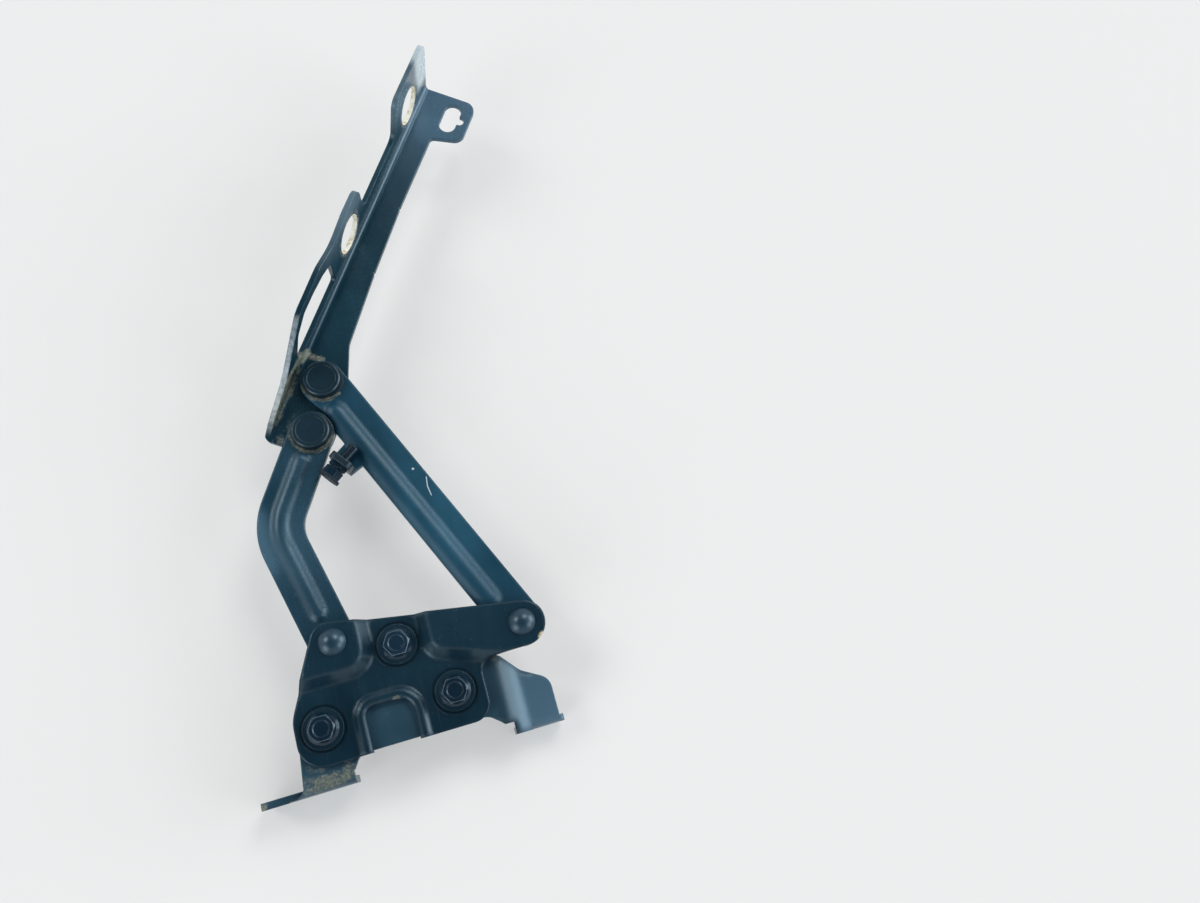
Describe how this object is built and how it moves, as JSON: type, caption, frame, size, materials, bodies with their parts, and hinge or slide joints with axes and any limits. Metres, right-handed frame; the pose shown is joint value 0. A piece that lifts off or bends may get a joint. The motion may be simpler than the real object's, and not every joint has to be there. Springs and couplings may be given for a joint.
{
  "type": "bonnet hinge",
  "caption": "Pressed-steel bonnet hinge: beaded links on a joggled pivot plate form a four-bar linkage that carries a flanged bonnet arm and an adjustable stop screw.",
  "frame": {"origin": "midway between the two body bolt holes, on the body mounting face and on the hole axes", "axes": "+X along the line of the two body bolts, towards the front tab; +Y away from the body mounting face; +Z out of the sheet faces, along all the pivot axes, towards the pivot heads"},
  "size_m": [0.2169, 0.4278, 0.0706],
  "materials": {
    "bracket": "satin",
    "plate": "satin",
    "bolts": "satin",
    "washers": "satin",
    "weld_nuts": "satin",
    "rivets": "satin",
    "spacers": "satin",
    "short_link": "satin",
    "bushes": "satin",
    "pins": "satin",
    "pin_washers": "satin",
    "long_link": "satin",
    "stop_screw": "satin",
    "stop_pad": "matte",
    "arm": "satin"
  },
  "bodies": {
    "bracket": {"body_bracket": "bracket", "pivot_plate": "plate", "plate_bolt_top": "bolts", "plate_bolt_front": "bolts", "plate_bolt_rear": "bolts", "plate_washer_top": "washers", "plate_washer_front": "washers", "plate_washer_rear": "washers", "weld_nut_top": "weld_nuts", "weld_nut_front": "weld_nuts", "weld_nut_rear": "weld_nuts", "rear_rivet": "rivets", "front_rivet": "rivets", "rear_rivet_washer": "spacers", "front_rivet_washer": "spacers"},
    "short_arm": {"short_link": "short_link", "short_link_bush": "bushes", "rear_pin": "pins", "rear_pin_washer": "pin_washers", "rear_tail_washer": "spacers"},
    "long_arm": {"long_link": "long_link", "long_link_bush": "bushes", "front_pin": "pins", "front_pin_washer": "pin_washers", "front_tail_washer": "spacers", "front_spacer": "spacers", "stop_screw": "stop_screw", "stop_nut": "stop_screw", "stop_pad": "stop_pad"},
    "bonnet_arm": {"hinge_arm": "arm", "arm_bush": "bushes"}
  },
  "joints": [
    {"name": "fold", "type": "hinge", "parent": "bracket", "child": "short_arm", "pos_m": [-0.029, 0.075, 0.0235], "axis": [0, 0, 1], "range_deg": [0, 33.8]},
    {"name": "long_swing", "type": "hinge", "parent": "bracket", "child": "long_arm", "pos_m": [0.0735, 0.058, 0.0235], "axis": [0, 0, 1], "range_deg": [0, 19.3]},
    {"name": "arm_turn", "type": "hinge", "parent": "short_arm", "child": "bonnet_arm", "pos_m": [-0.016, 0.198, 0.019], "axis": [0, 0, 1], "range_deg": [-85.9, 0]}
  ],
  "couplings": [
    {"joint": "long_swing", "follows": "fold", "ratio": 0.57011},
    {"joint": "arm_turn", "follows": "fold", "ratio": -2.5382}
  ]
}
